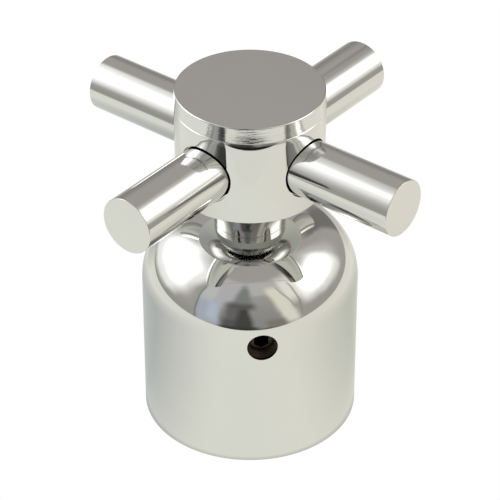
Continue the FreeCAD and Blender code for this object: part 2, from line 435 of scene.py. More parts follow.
threaded_rod = threaded_rod_tree()
side_hole = grown("side_hole", threaded_rod, {
    "Radius": grub_radius + fit_gap, "Thread Depth": grub_thread_depth, "Pitch": grub_thread_pitch,
    "Bottom": bush_radius - PAST, "Top": bell_radius + PAST, "Run Out": TINY_ROUND,
    "Sides": 64, "Rows": 220, "Material": shaded_hole_brass,
})
side_hole.data.transform(grub_axis)
shaped(bell, side_hole, "DIFFERENCE")
mouth_section = [
    (0.0, bell_radius - mouth_depth - grub_thread_depth, 0),
    (grub_radius - grub_thread_depth, bell_radius - mouth_depth - grub_thread_depth, 0),
    (mouth_radius, bell_radius - mouth_depth, 0),
    (mouth_radius, bell_radius + PAST, 0),
    (0.0, bell_radius + PAST, 0),
]
mouth = added("mouth", turned_mesh("mouth", mouth_section, SMALL_SEGMENTS), shaded_hole_brass)
mouth.data.transform(grub_axis)
shaped(bell, mouth, "DIFFERENCE")
smoothed(bell)
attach(bell, "root")
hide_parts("bell")

# Splined bush
# A flanged brass bush, turned and broached, pressed up into the boss. Its toothed socket fits the
# valve's spindle, and a window in its side lets the grub screw through.
flange_bottom = bush_low.z
flange_radius = bush_high.x
bush_top = bush_high.z
spline_teeth = 20
spline_tip_radius = 0.0037
spline_root_radius = 0.0042
spline_land_share = 0.42
spline_valley_share = 0.26
tooth_sharpest = math.radians(25)
window_gap = 0.0003
window_radius = grub_radius + window_gap
MIDDLE_SEGMENTS = 192

bare_brass = marked_surface(
    "bare_brass", light=(0.74, 0.54, 0.31), dark=(0.52, 0.35, 0.18),
    cloud_scale=400.0, grain_scale=3000.0, roughness=(0.2, 0.4), relief=0.000004,
)


def toothed_bar_tree():
    """Upright bar whose outline has a land and a valley for each tooth."""
    tree = bpy.data.node_groups.new("toothed_bar", "GeometryNodeTree")
    named_sockets(tree, "OUTPUT", ["Geometry"], "NodeSocketGeometry")
    named_sockets(tree, "INPUT", ["Teeth"], "NodeSocketInt")
    sizes = ["Tip Radius", "Root Radius", "Land Share", "Valley Share", "Bottom", "Top"]
    named_sockets(tree, "INPUT", sizes, "NodeSocketFloat")
    named_sockets(tree, "INPUT", ["Material"], "NodeSocketMaterial")
    nodes, links = tree.nodes, tree.links
    given = nodes.new("NodeGroupInput")
    size = given.outputs
    land_points = 3
    points_per_tooth = 2 * land_points
    same_place = 0.000001
    outline = nodes.new("GeometryNodeMeshCircle")
    outline.fill_type = "NGON"
    links.new(reckoned(tree, "MULTIPLY", size["Teeth"], points_per_tooth), outline.inputs["Vertices"])
    count = nodes.new("GeometryNodeInputIndex").outputs["Index"]
    tooth = reckoned(tree, "FLOOR", reckoned(tree, "DIVIDE", count, points_per_tooth))
    point = reckoned(tree, "MODULO", count, points_per_tooth)
    in_valley = reckoned(tree, "GREATER_THAN", point, land_points - 0.5)
    step = reckoned(tree, "SUBTRACT", reckoned(tree, "MODULO", point, land_points), 1.0)
    width = nodes.new("ShaderNodeMix")
    links.new(in_valley, width.inputs["Factor"])
    links.new(size["Land Share"], width.inputs["A"])
    links.new(size["Valley Share"], width.inputs["B"])
    radius = nodes.new("ShaderNodeMix")
    links.new(in_valley, radius.inputs["Factor"])
    links.new(size["Tip Radius"], radius.inputs["A"])
    links.new(size["Root Radius"], radius.inputs["B"])
    aside = reckoned(tree, "MULTIPLY", reckoned(tree, "MULTIPLY", step, width.outputs["Result"]), 0.5)
    along = reckoned(tree, "ADD", reckoned(tree, "MULTIPLY", in_valley, 0.5), aside)
    share = reckoned(tree, "DIVIDE", reckoned(tree, "ADD", tooth, along), size["Teeth"])
    angle = reckoned(tree, "MULTIPLY", share, 2 * math.pi)
    corner = nodes.new("ShaderNodeCombineXYZ")
    for axis, operation in (("X", "COSINE"), ("Y", "SINE")):
        unit = reckoned(tree, operation, angle)
        links.new(reckoned(tree, "MULTIPLY", unit, radius.outputs["Result"]), corner.inputs[axis])
    links.new(size["Bottom"], corner.inputs["Z"])
    drawn = nodes.new("GeometryNodeSetPosition")
    links.new(outline.outputs["Mesh"], drawn.inputs["Geometry"])
    links.new(corner.outputs["Vector"], drawn.inputs["Position"])
    upward = nodes.new("ShaderNodeCombineXYZ")
    links.new(reckoned(tree, "SUBTRACT", size["Top"], size["Bottom"]), upward.inputs["Z"])
    raised = nodes.new("GeometryNodeExtrudeMesh")
    links.new(drawn.outputs["Geometry"], raised.inputs["Mesh"])
    links.new(upward.outputs["Vector"], raised.inputs["Offset"])
    under = nodes.new("GeometryNodeFlipFaces")
    links.new(drawn.outputs["Geometry"], under.inputs["Mesh"])
    both = nodes.new("GeometryNodeJoinGeometry")
    links.new(raised.outputs["Mesh"], both.inputs["Geometry"])
    links.new(under.outputs["Mesh"], both.inputs["Geometry"])
    merged = nodes.new("GeometryNodeMergeByDistance")
    merged.inputs["Distance"].default_value = same_place
    links.new(both.outputs["Geometry"], merged.inputs["Geometry"])
    ended_in_material(tree, merged.outputs["Geometry"], given)
    return tree


bush_section = [
    (0.0, flange_bottom, 0),
    (flange_radius, flange_bottom, TINY_ROUND),
    (flange_radius, boss_bottom, TINY_ROUND),
    (bush_radius, boss_bottom, 0),
    (bush_radius, bush_top, TINY_ROUND),
    (0.0, bush_top, 0),
]
bush = added("splined_bush", turned_mesh("splined_bush", bush_section, MIDDLE_SEGMENTS), bare_brass)
socket = grown("socket", toothed_bar_tree(), {
    "Teeth": spline_teeth, "Tip Radius": spline_tip_radius, "Root Radius": spline_root_radius,
    "Land Share": spline_land_share, "Valley Share": spline_valley_share,
    "Bottom": flange_bottom - PAST, "Top": bush_top + PAST, "Material": bare_brass,
})
shaped(bush, socket, "DIFFERENCE")
window_section = [
    (0.0, 0.0, 0),
    (window_radius, 0.0, 0),
    (window_radius, bush_radius + PAST, 0),
    (0.0, bush_radius + PAST, 0),
]
window = added("window", turned_mesh("window", window_section, BORE_SEGMENTS), bare_brass)
window.data.transform(grub_axis)
shaped(bush, window, "DIFFERENCE")
smoothed(bush, tooth_sharpest)
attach(bush, "root")
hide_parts("spline_bush")

# Grub screw
# A headless M6 screw of dark steel with a hexagon socket, run in through the tapped side hole until
# its tip bears on the spindle. It sits well below the bell's surface.
grub_face = -grub_low.y
grub_tip = -grub_high.y
grub_socket_flats = 0.003
grub_socket_depth = 0.0035
grub_run_out = 0.0006

grub_steel = marked_surface(
    "brown_black_steel", light=(0.09, 0.07, 0.06), dark=(0.04, 0.03, 0.027),
    cloud_scale=700.0, grain_scale=2600.0, roughness=(0.3, 0.5), relief=0.000004,
)


def hexagon_outline(across_flats):
    """Outline of a hexagon socket with a corner towards +X."""
    corner_radius = across_flats / math.sqrt(3)
    angles = [math.radians(60 * side) for side in range(6)]
    return [(corner_radius * math.cos(angle), corner_radius * math.sin(angle)) for angle in angles]


grub = grown("grub_screw_m6", threaded_rod, {
    "Radius": grub_radius, "Thread Depth": grub_thread_depth, "Pitch": grub_thread_pitch,
    "Bottom": grub_tip, "Top": grub_face, "Run Out": grub_run_out,
    "Sides": 64, "Rows": 192, "Material": grub_steel,
})
grub_socket = added("grub_socket", prism_mesh(
    "grub_socket", hexagon_outline(grub_socket_flats), grub_face - grub_socket_depth, grub_face + PAST
), grub_steel)
shaped(grub, grub_socket, "DIFFERENCE")
grub.data.transform(grub_axis)
smoothed(grub)
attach(grub, "root")
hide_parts("grub_screw")

# Cross hub
# One turned piece, chrome plated: the round hub that holds the bars, and the neck that stands on the
# bell, with a keyed spigot below. Polishing rolls the hub's upper edge off below the cap. The neck's
# chrome is darkened with painted shade, for the shade in the recess under the hub.
cap_low, cap_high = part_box("top_cap")
washer_low, washer_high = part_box("spring_washer")
arm_low, arm_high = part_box("arm_front_right")
stud_low, stud_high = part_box("stud_front_right")
hub_radius = cap_high.x
hub_top = hub_high.z
neck_radius = 0.0075
hub_floor = 0.004
hub_bottom = washer_low.z - hub_floor
hub_round = 0.00025
roll_radius = 0.008
roll_angle = math.radians(10.5)
roll_break = 0.0002
well_radius = 0.0056
bore_wall = 0.006
plug_bore_radius = hub_radius - bore_wall
plug_end_gap = 0.0004
plug_bore_floor = cap_low.z - plug_end_gap
screw_hole_radius = 0.0033
arm_radius = (arm_high.z - arm_low.z) / 2
arm_height = (arm_high.z + arm_low.z) / 2
arm_gap = 0.00035
arm_seat_depth = 0.0045
arm_seat = hub_radius - arm_seat_depth
stud_radius = (stud_high.z - stud_low.z) / 2
UPRIGHT = 0.5
BAR_COUNT = 4
FIRST_HEADING = math.radians(45)

roll_end = hub_top - roll_break
roll_start = roll_end - roll_radius * math.sin(roll_angle)
roll_steps = 8
roll = []
for step in range(roll_steps + 1):
    angle = roll_angle * step / roll_steps
    roll.append((
        hub_radius - roll_radius * (1 - math.cos(angle)),
        roll_start + roll_radius * math.sin(angle), 0,
    ))
rolled_radius = roll[-1][0]
hub_section = [
    (0.0, crown_height, 0),
    (neck_radius, crown_height, TINY_ROUND),
    (neck_radius, hub_bottom, TINY_ROUND),
    (hub_radius, hub_bottom, hub_round),
] + roll + [
    (rolled_radius - roll_break, hub_top, TINY_ROUND / 2),
    (plug_bore_radius, hub_top, TINY_ROUND),
    (plug_bore_radius, plug_bore_floor, 0),
    (well_radius, plug_bore_floor, 0),
    (well_radius, washer_low.z, 0),
    (0.0, washer_low.z, 0),
]
# Painted shade: a darker chrome for the neck's side, standing for the shade in the recess under the hub.
recess_shade_chrome = marked_surface(
    "recess_shade_chrome", light=(0.48, 0.48, 0.46), dark=(0.42, 0.42, 0.40),
    cloud_scale=200.0, grain_scale=1500.0, roughness=(0.05, 0.09), relief=0.0000003,
)
hub = added("hub_and_neck", turned_mesh("hub_and_neck", hub_section), chrome, dull_plate, recess_shade_chrome)
for face in hub.data.polygons:
    if face.center.z < hub_bottom and abs(face.normal.z) < UPRIGHT:
        face.material_index = 2
spigot_outline = keyed_outline(spigot_radius, spigot_half_width)
spigot = added(
    "spigot", prism_mesh("spigot", spigot_outline, hub_low.z, crown_height + TINY_ROUND), dull_plate
)
shaped(hub, spigot, "UNION")
screw_hole_section = [
    (0.0, hub_low.z - PAST, 0),
    (screw_hole_radius, hub_low.z - PAST, 0),
    (screw_hole_radius, washer_low.z + PAST, 0),
    (0.0, washer_low.z + PAST, 0),
]
screw_hole = added(
    "screw_hole", turned_mesh("screw_hole", screw_hole_section, BORE_SEGMENTS), dull_plate
)
shaped(hub, screw_hole, "DIFFERENCE")
seat_section = [
    (0.0, well_radius - PAST, 0),
    (stud_radius + fit_gap, well_radius - PAST, 0),
    (stud_radius + fit_gap, arm_seat, 0),
    (arm_radius + arm_gap, arm_seat, 0),
    (arm_radius + arm_gap, hub_radius + PAST, 0),
    (0.0, hub_radius + PAST, 0),
]


def ring_of_four_tree():
    """Copies of a piece, turned about Z by equal steps from a first heading."""
    tree = bpy.data.node_groups.new("ring_of_four", "GeometryNodeTree")
    named_sockets(tree, "OUTPUT", ["Geometry"], "NodeSocketGeometry")
    named_sockets(tree, "INPUT", ["Geometry"], "NodeSocketGeometry")
    named_sockets(tree, "INPUT", ["Count"], "NodeSocketInt")
    named_sockets(tree, "INPUT", ["First Heading"], "NodeSocketFloat")
    named_sockets(tree, "INPUT", ["Material"], "NodeSocketMaterial")
    nodes, links = tree.nodes, tree.links
    given = nodes.new("NodeGroupInput")
    places = nodes.new("GeometryNodePoints")
    links.new(given.outputs["Count"], places.inputs["Count"])
    count = nodes.new("GeometryNodeInputIndex").outputs["Index"]
    step = reckoned(tree, "DIVIDE", 2 * math.pi, given.outputs["Count"])
    turned = reckoned(tree, "MULTIPLY", count, step)
    heading = nodes.new("ShaderNodeCombineXYZ")
    links.new(reckoned(tree, "ADD", turned, given.outputs["First Heading"]), heading.inputs["Z"])
    rotation = nodes.new("FunctionNodeEulerToRotation")
    links.new(heading.outputs["Vector"], rotation.inputs["Euler"])
    copies = nodes.new("GeometryNodeInstanceOnPoints")
    links.new(places.outputs["Geometry"], copies.inputs["Points"])
    links.new(given.outputs["Geometry"], copies.inputs["Instance"])
    links.new(rotation.outputs["Rotation"], copies.inputs["Rotation"])
    ended_in_material(tree, copies.outputs["Instances"], given)
    return tree


ring_of_four = ring_of_four_tree()
seat_mesh = turned_mesh("seats", seat_section, MIDDLE_SEGMENTS)
seat_mesh.transform(laid_along(0.0, arm_height))
seats = grown("seats", ring_of_four, {
    "Count": BAR_COUNT, "First Heading": FIRST_HEADING, "Material": chrome,
}, seat_mesh)
shaped(hub, seats, "DIFFERENCE")
smoothed(hub)
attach(hub, "root")
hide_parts("cross_hub")

# Hub screw and spring washer
# An M6 socket head screw of turned stainless steel goes down through the hub into the bell's boss
# and holds the two together. The split washer under its head keeps it tight.
screw_low, screw_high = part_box("hub_screw")
head_radius = screw_high.x
head_bottom = washer_high.z
head_round = 0.0006
screw_socket_flats = 0.005
screw_socket_depth = 0.003
screw_thread_depth = 0.00055
screw_run_out = 0.0009
washer_radius = washer_high.y
washer_split = 0.0012


def turning_lines_group():
    """Fine rings across Z that a turning tool leaves, broken here and there, as a height."""
    group = bpy.data.node_groups.new("turning_lines", "ShaderNodeTree")
    named_sockets(group, "INPUT", ["Lines A Metre", "Breaks A Metre"], "NodeSocketFloat")
    named_sockets(group, "OUTPUT", ["Height"], "NodeSocketFloat")
    given = group.nodes.new("NodeGroupInput")
    result = group.nodes.new("NodeGroupOutput")
    place = group.nodes.new("ShaderNodeTexCoord")
    parts = group.nodes.new("ShaderNodeSeparateXYZ")
    drawn_out = group.nodes.new("ShaderNodeCombineXYZ")
    rings = group.nodes.new("ShaderNodeTexNoise")
    rings.inputs["Scale"].default_value = 1.0
    rings.inputs["Detail"].default_value = 4.0
    group.links.new(place.outputs["Object"], parts.inputs["Vector"])
    for axis, share in (("X", "Breaks A Metre"), ("Y", "Breaks A Metre"), ("Z", "Lines A Metre")):
        along = reckoned(group, "MULTIPLY", parts.outputs[axis], given.outputs[share])
        group.links.new(along, drawn_out.inputs[axis])
    group.links.new(drawn_out.outputs["Vector"], rings.inputs["Vector"])
    group.links.new(rings.outputs["Fac"], result.inputs["Height"])
    return group


turning_lines = turning_lines_group()


def with_turning_lines(material, lines_a_metre, breaks_a_metre, depth):
    """Lay turned rings under a material's own fine surface."""
    nodes, links = material.node_tree.nodes, material.node_tree.links
    lines = nodes.new("ShaderNodeGroup")
    lines.node_tree = turning_lines
    lines.inputs["Lines A Metre"].default_value = lines_a_metre
    lines.inputs["Breaks A Metre"].default_value = breaks_a_metre
    ridge = nodes.new("ShaderNodeBump")
    ridge.inputs["Strength"].default_value = 1.0
    ridge.inputs["Distance"].default_value = depth
    links.new(lines.outputs["Height"], ridge.inputs["Height"])
    links.new(ridge.outputs["Normal"], nodes["Bump"].inputs["Normal"])
    return material


turned_steel = with_turning_lines(marked_surface(
    "turned_steel", light=(0.58, 0.58, 0.59), dark=(0.44, 0.44, 0.45),
    cloud_scale=300.0, grain_scale=2500.0, roughness=(0.2, 0.35), relief=0.000002,
), lines_a_metre=5000.0, breaks_a_metre=100.0, depth=0.00001)

head_section = [
    (0.0, head_bottom, 0),
    (head_radius, head_bottom, TINY_ROUND),
    (head_radius, screw_high.z, head_round),
    (0.0, screw_high.z, 0),
]
hub_screw = added(
    "hub_screw_m6", turned_mesh("hub_screw_m6", head_section, SMALL_SEGMENTS), turned_steel
)
shank = grown("shank", threaded_rod, {
    "Radius": screw_radius, "Thread Depth": screw_thread_depth, "Pitch": grub_thread_pitch,
    "Bottom": screw_low.z, "Top": head_bottom + TINY_ROUND, "Run Out": screw_run_out,
    "Sides": 48, "Rows": 300, "Material": turned_steel,
})
shaped(hub_screw, shank, "UNION")
screw_socket = added("screw_socket", prism_mesh(
    "screw_socket", hexagon_outline(screw_socket_flats),
    screw_high.z - screw_socket_depth, screw_high.z + PAST,
), turned_steel)
shaped(hub_screw, screw_socket, "DIFFERENCE")
smoothed(hub_screw)
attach(hub_screw, "root")
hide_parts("hub_screw")

washer_section = [
    (screw_hole_radius, washer_low.z, TINY_ROUND),
    (washer_radius, washer_low.z, TINY_ROUND),
    (washer_radius, washer_high.z, TINY_ROUND),
    (screw_hole_radius, washer_high.z, TINY_ROUND),
]
washer = added(
    "split_washer", turned_mesh("split_washer", washer_section, SMALL_SEGMENTS), turned_steel
)
split_outline = [
    (0.0, -washer_split / 2), (washer_radius + PAST, -washer_split / 2),
    (washer_radius + PAST, washer_split / 2), (0.0, washer_split / 2),
]
split = added(
    "split", prism_mesh("split", split_outline, washer_low.z - PAST, washer_high.z + PAST), turned_steel
)
shaped(washer, split, "DIFFERENCE")
smoothed(washer)
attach(washer, "root")
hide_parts("spring_washer")

# Bars and their studs
# Four plain lengths of round bar with flat ends, turned, polished and plated, each drilled and
# tapped at its inner end and screwed home on a headless M5 stud of stainless steel in the hub.
arm_reach = 0.0387
arm_round = 0.00012
stud_end_gap = 0.0008
stud_hold = 0.007
stud_inner_end = well_radius + stud_end_gap
stud_outer_end = arm_seat + stud_hold
stud_thread_depth = 0.00045
stud_pitch = 0.0008
stud_run_out = 0.0006

stud = grown("stud", threaded_rod, {
    "Radius": stud_radius, "Thread Depth": stud_thread_depth, "Pitch": stud_pitch,
    "Bottom": stud_inner_end, "Top": stud_outer_end, "Run Out": stud_run_out,
    "Sides": 48, "Rows": 144, "Material": turned_steel,
})
stud_mesh = stud.data
bpy.data.objects.remove(stud)
stud_mesh.transform(laid_along(0.0, arm_height))
studs = grown("bar_studs", ring_of_four, {
    "Count": BAR_COUNT, "First Heading": FIRST_HEADING, "Material": turned_steel,
}, stud_mesh)
smoothed(studs)
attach(studs, "root")
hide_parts("stud_back_right", "stud_back_left", "stud_front_left", "stud_front_right")

bar_chrome = marked_surface(
    "bar_chrome", light=plate_light, dark=plate_dark,
    cloud_scale=60.0, grain_scale=900.0, roughness=(0.06, 0.1), relief=0.0000002,
)
bar_section = [
    (0.0, stud_outer_end + stud_end_gap, 0),
    (stud_radius + fit_gap, stud_outer_end + stud_end_gap, 0),
    (stud_radius + fit_gap, arm_seat, TINY_ROUND),
    (arm_radius, arm_seat, arm_round),
    (arm_radius, arm_reach, arm_round),
    (0.0, arm_reach, 0),
]
bar_mesh = turned_mesh("bars", bar_section)
bar_mesh.transform(laid_along(0.0, arm_height))
bars = grown("bars", ring_of_four, {
    "Count": BAR_COUNT, "First Heading": FIRST_HEADING, "Material": bar_chrome,
}, bar_mesh)
smoothed(bars)
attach(bars, "root")
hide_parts("arm_back_right", "arm_back_left", "arm_front_left", "arm_front_right")

# Cap ring
# A moulded rubber ring in the groove of the cap's plug. It grips the hub's bore and keeps water out.
ring_low, ring_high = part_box("cap_o_ring")
ring_section_radius = (ring_high.z - ring_low.z) / 2
ring_height = (ring_high.z + ring_low.z) / 2
ring_middle_radius = ring_high.x - ring_section_radius
ring_steps = 24

seal_rubber = marked_surface(
    "seal_rubber", light=(0.04, 0.04, 0.04), dark=(0.02, 0.02, 0.021),
    cloud_scale=500.0, grain_scale=4000.0, roughness=(0.5, 0.75), relief=0.00001, metallic=0.0,
)
ring_outline = []
for step in range(ring_steps):
    angle = 2 * math.pi * step / ring_steps
    ring_outline.append((
        ring_middle_radius + ring_section_radius * math.cos(angle),
        ring_height + ring_section_radius * math.sin(angle), 0,
    ))
ring = added("cap_ring", turned_mesh("cap_ring", ring_outline, SMALL_SEGMENTS), seal_rubber)
smoothed(ring)
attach(ring, "root")
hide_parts("cap_o_ring")

# Top cap
# A turned disc as wide as the hub, pushed into the hub on its grooved plug. Its top is polished flat
# and plated. Its narrow side spreads a hair at the foot, and keeps the rings of the turning tool under
# the plating.
cap_round = 0.0003
cap_spread = 0.00006
cap_foot = 0.0016
cap_waist = hub_top + cap_foot
waist_round = 0.03
groove_depth = 0.0016
groove_radius = plug_bore_radius - groove_depth
groove_half = 0.00095
plug_radius = plug_bore_radius - fit_gap

turned_chrome = with_turning_lines(marked_surface(
    "turned_chrome", light=plate_light, dark=plate_dark,
    cloud_scale=60.0, grain_scale=900.0, roughness=(0.05, 0.10), relief=0.0000002,
), lines_a_metre=3600.0, breaks_a_metre=260.0, depth=0.00003)

cap_section = [
    (0.0, cap_low.z, 0),
    (plug_radius, cap_low.z, cap_round),
    (plug_radius, ring_height - groove_half, 0),
    (groove_radius, ring_height - groove_half, 0),
    (groove_radius, ring_height + groove_half, 0),
    (plug_radius, ring_height + groove_half, 0),
    (plug_radius, hub_top, 0),
    (hub_radius, hub_top, cap_round / 3),
    (hub_radius - cap_spread, cap_waist, waist_round),
    (hub_radius - cap_spread, cap_high.z, cap_round),
    (0.0, cap_high.z, 0),
]
cap = added("cap_disc", turned_mesh("cap_disc", cap_section), chrome, turned_chrome)
for face in cap.data.polygons:
    if face.center.z > hub_top + cap_round / 4 and abs(face.normal.z) < UPRIGHT:
        face.material_index = 1
smoothed(cap)
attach(cap, "root")
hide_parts("top_cap")

# Table
# A sheet of white paper with round front corners. Its edge lies close before the handle, and the
# polished shoulder mirrors the dark beyond it. The handle's own soft shade lies on the paper, beside
# and behind the skirt.
paper_corners = [
    (-0.41, 0.46, 0), (-0.216, -0.083, 0.25), (0.343, -0.165, 0.30), (0.41, 0.46, 0),
]
lit_paper = (0.99, 1.0, 0.91)
warm_paper = (1.0, 0.965, 0.87)
shade_left = (0.59, 0.62, 0.61)
shade_right = (0.69, 0.70, 0.62)
far_shade = (0.52, 0.52, 0.50)
contact_shade = 0.3
contact_width = 0.0012
bare_paper = (0.8, 0.8, 0.79)
paper_roughness = 0.9
shade_turn = (-0.85, 0.25)
shade_reach = (0.12, 0.06)
shade_sides = (-0.02, 0.02)
warm_side = (-0.01, 0.09)
far_turn = (0.6, 0.95)
far_reach = (0.10, 0.13)
white = (1.0, 1.0, 1.0)
black = (0.0, 0.0, 0.0)

table_mesh = bpy.data.meshes.new("white_table")
paper_edge = rounded_outline(paper_corners, longest=0.2, arc_step=0.02)
table_mesh.from_pydata([(x, y, 0) for x, y in paper_edge], [], [range(len(paper_edge))])
paper = bpy.data.materials.new("white_paper")
paper.use_nodes = True
tree = paper.node_tree
nodes, links = tree.nodes, tree.links
nodes["Principled BSDF"].inputs["Base Color"].default_value = (*bare_paper, 1.0)
nodes["Principled BSDF"].inputs["Roughness"].default_value = paper_roughness


def mixed_colour(tree, share, under, over):
    """Colour part of the way from one colour to another."""
    mix = tree.nodes.new("ShaderNodeMix")
    mix.data_type = "RGBA"
    tree.links.new(share, mix.inputs["Factor"])
    for name, colour in (("A", under), ("B", over)):
        if isinstance(colour, bpy.types.NodeSocket):
            tree.links.new(colour, mix.inputs[name])
        else:
            mix.inputs[name].default_value = (*colour, 1.0)
    return mix.outputs["Result"]


place = nodes.new("ShaderNodeTexCoord")
parts = nodes.new("ShaderNodeSeparateXYZ")
links.new(place.outputs["Object"], parts.inputs["Vector"])
squares = [reckoned(tree, "POWER", parts.outputs[axis], 2.0) for axis in ("X", "Y")]
distance = reckoned(tree, "SQRT", reckoned(tree, "ADD", *squares))
facing = reckoned(tree, "DIVIDE", parts.outputs["Y"], distance)
behind = clamped_rise(tree, facing, *shade_turn)
close = clamped_rise(tree, distance, *shade_reach)
shaded = reckoned(tree, "MULTIPLY", behind, close)
shade = mixed_colour(tree, clamped_rise(tree, parts.outputs["X"], *shade_sides), shade_left, shade_right)
lit = mixed_colour(tree, clamped_rise(tree, parts.outputs["X"], *warm_side), lit_paper, warm_paper)
resting = mixed_colour(tree, shaded, lit, shade)
right_behind = clamped_rise(tree, facing, *far_turn)
beyond_bell = clamped_rise(tree, distance, *far_reach)
resting = mixed_colour(tree, reckoned(tree, "MULTIPLY", right_behind, beyond_bell), resting, far_shade)
contact = clamped_rise(tree, distance, bell_radius + contact_width, bell_radius)
contact = reckoned(tree, "MULTIPLY", contact, contact_shade)
resting = mixed_colour(tree, contact, resting, black)
path = nodes.new("ShaderNodeLightPath")
seen = mixed_colour(tree, path.outputs["Is Camera Ray"], resting, white)
glow = nodes.new("ShaderNodeEmission")
links.new(seen, glow.inputs["Color"])
mirrored = reckoned(tree, "MAXIMUM", path.outputs["Is Glossy Ray"], path.outputs["Is Transmission Ray"])
shown = reckoned(tree, "MAXIMUM", path.outputs["Is Camera Ray"], mirrored)
paper_mix = nodes.new("ShaderNodeMixShader")
links.new(shown, paper_mix.inputs["Fac"])
links.new(nodes["Principled BSDF"].outputs["BSDF"], paper_mix.inputs[1])
links.new(glow.outputs["Emission"], paper_mix.inputs[2])
links.new(paper_mix.outputs["Shader"], nodes["Material Output"].inputs["Surface"])
table = added("white_table", table_mesh, paper)

# Studio
# A pale tent round the table, with a softbox at each side and an opening in front, where the dark
# room shows. Azimuth is 0 towards -Y and grows towards +X, and both angles are in degrees.
tent_cloth = (0.48, 0.455, 0.43)
cloth_sway = 4.0
sway_scale = 4.0
sway_detail = 2.0
table_middle = -6.0
table_bow = 0.009
table_edge = (-31.0, -29.0)
front_seam = math.radians(61)
seam_half_width = 0.012
seam_shade = (0.47, 0.45, 0.43)
seam_front = (0.28, 0.38)


def soft_window_group():
    """Mask of a patch of the tent, from its bounds in degrees, their lean and their softness."""
    group = bpy.data.node_groups.new("soft_window", "ShaderNodeTree")
    directions = ["Azimuth", "Elevation"]
    bounds = ["Left", "Right", "Bottom", "Top"]
    edges = ["Left Lean", "Right Lean", "Side Softness", "Level Softness"]
    named_sockets(group, "INPUT", directions + bounds + edges, "NodeSocketFloat")
    named_sockets(group, "OUTPUT", ["Mask"], "NodeSocketFloat")
    given = group.nodes.new("NodeGroupInput").outputs
    result = group.nodes.new("NodeGroupOutput")
    at = {"Bottom": given["Bottom"], "Top": given["Top"]}
    for side in ("Left", "Right"):
        leant = reckoned(group, "MULTIPLY", given["Elevation"], given[side + " Lean"])
        at[side] = reckoned(group, "ADD", given[side], leant)
    mask = 1.0
    for value, bound, softness, sense in (
        ("Azimuth", "Left", "Side Softness", 1.0), ("Azimuth", "Right", "Side Softness", -1.0),
        ("Elevation", "Bottom", "Level Softness", 1.0), ("Elevation", "Top", "Level Softness", -1.0),
    ):
        inward = reckoned(group, "MULTIPLY", reckoned(group, "SUBTRACT", given[value], at[bound]), sense)
        edge = group.nodes.new("ShaderNodeMapRange")
        edge.interpolation_type = "SMOOTHSTEP"
        group.links.new(inward, edge.inputs["Value"])
        group.links.new(reckoned(group, "MULTIPLY", given[softness], -1.0), edge.inputs["From Min"])
        group.links.new(given[softness], edge.inputs["From Max"])
        mask = reckoned(group, "MULTIPLY", edge.outputs["Result"], mask)
    group.links.new(mask, result.inputs["Mask"])
    return group


soft_window = soft_window_group()
world = bpy.data.worlds.new("studio")
world.use_nodes = True
tent = world.node_tree
nodes, links = tent.nodes, tent.links
towards = nodes.new("ShaderNodeTexCoord")
parts = nodes.new("ShaderNodeSeparateXYZ")
links.new(towards.outputs["Generated"], parts.inputs["Vector"])
ahead = reckoned(tent, "MULTIPLY", parts.outputs["Y"], -1.0)
azimuth = reckoned(tent, "DEGREES", reckoned(tent, "ARCTAN2", parts.outputs["X"], ahead))
elevation = reckoned(tent, "DEGREES", reckoned(tent, "ARCSINE", parts.outputs["Z"]))
sway = nodes.new("ShaderNodeTexNoise")
sway.inputs["Scale"].default_value = sway_scale
sway.inputs["Detail"].default_value = sway_detail
sways = nodes.new("ShaderNodeSeparateColor")
links.new(towards.outputs["Generated"], sway.inputs["Vector"])
links.new(sway.outputs["Color"], sways.inputs["Color"])


def swayed(angle, amount):
    """An angle moved a little either way, as hanging cloth is."""
    aside = reckoned(tent, "MULTIPLY", reckoned(tent, "SUBTRACT", amount, 0.5), cloth_sway)
    return reckoned(tent, "ADD", angle, aside)


swayed_azimuth = swayed(azimuth, sways.outputs["Red"])
swayed_elevation = swayed(elevation, sways.outputs["Green"])


def painted_over(under, name, colour, sides, levels, softness, lean=(0.0, 0.0), within=1.0):
    """Lay a soft patch over the tent's paint. Its sides, levels, softness and lean come in pairs."""
    window = tent.nodes.new("ShaderNodeGroup")
    window.name = name
    window.node_tree = soft_window
    window.inputs["Left"].default_value, window.inputs["Right"].default_value = sides
    window.inputs["Bottom"].default_value, window.inputs["Top"].default_value = levels
    window.inputs["Left Lean"].default_value, window.inputs["Right Lean"].default_value = lean
    window.inputs["Side Softness"].default_value, window.inputs["Level Softness"].default_value = softness
    tent.links.new(swayed_azimuth, window.inputs["Azimuth"])
    tent.links.new(swayed_elevation, window.inputs["Elevation"])
    return mixed_colour(tent, reckoned(tent, "MULTIPLY", window.outputs["Mask"], within), under, colour)


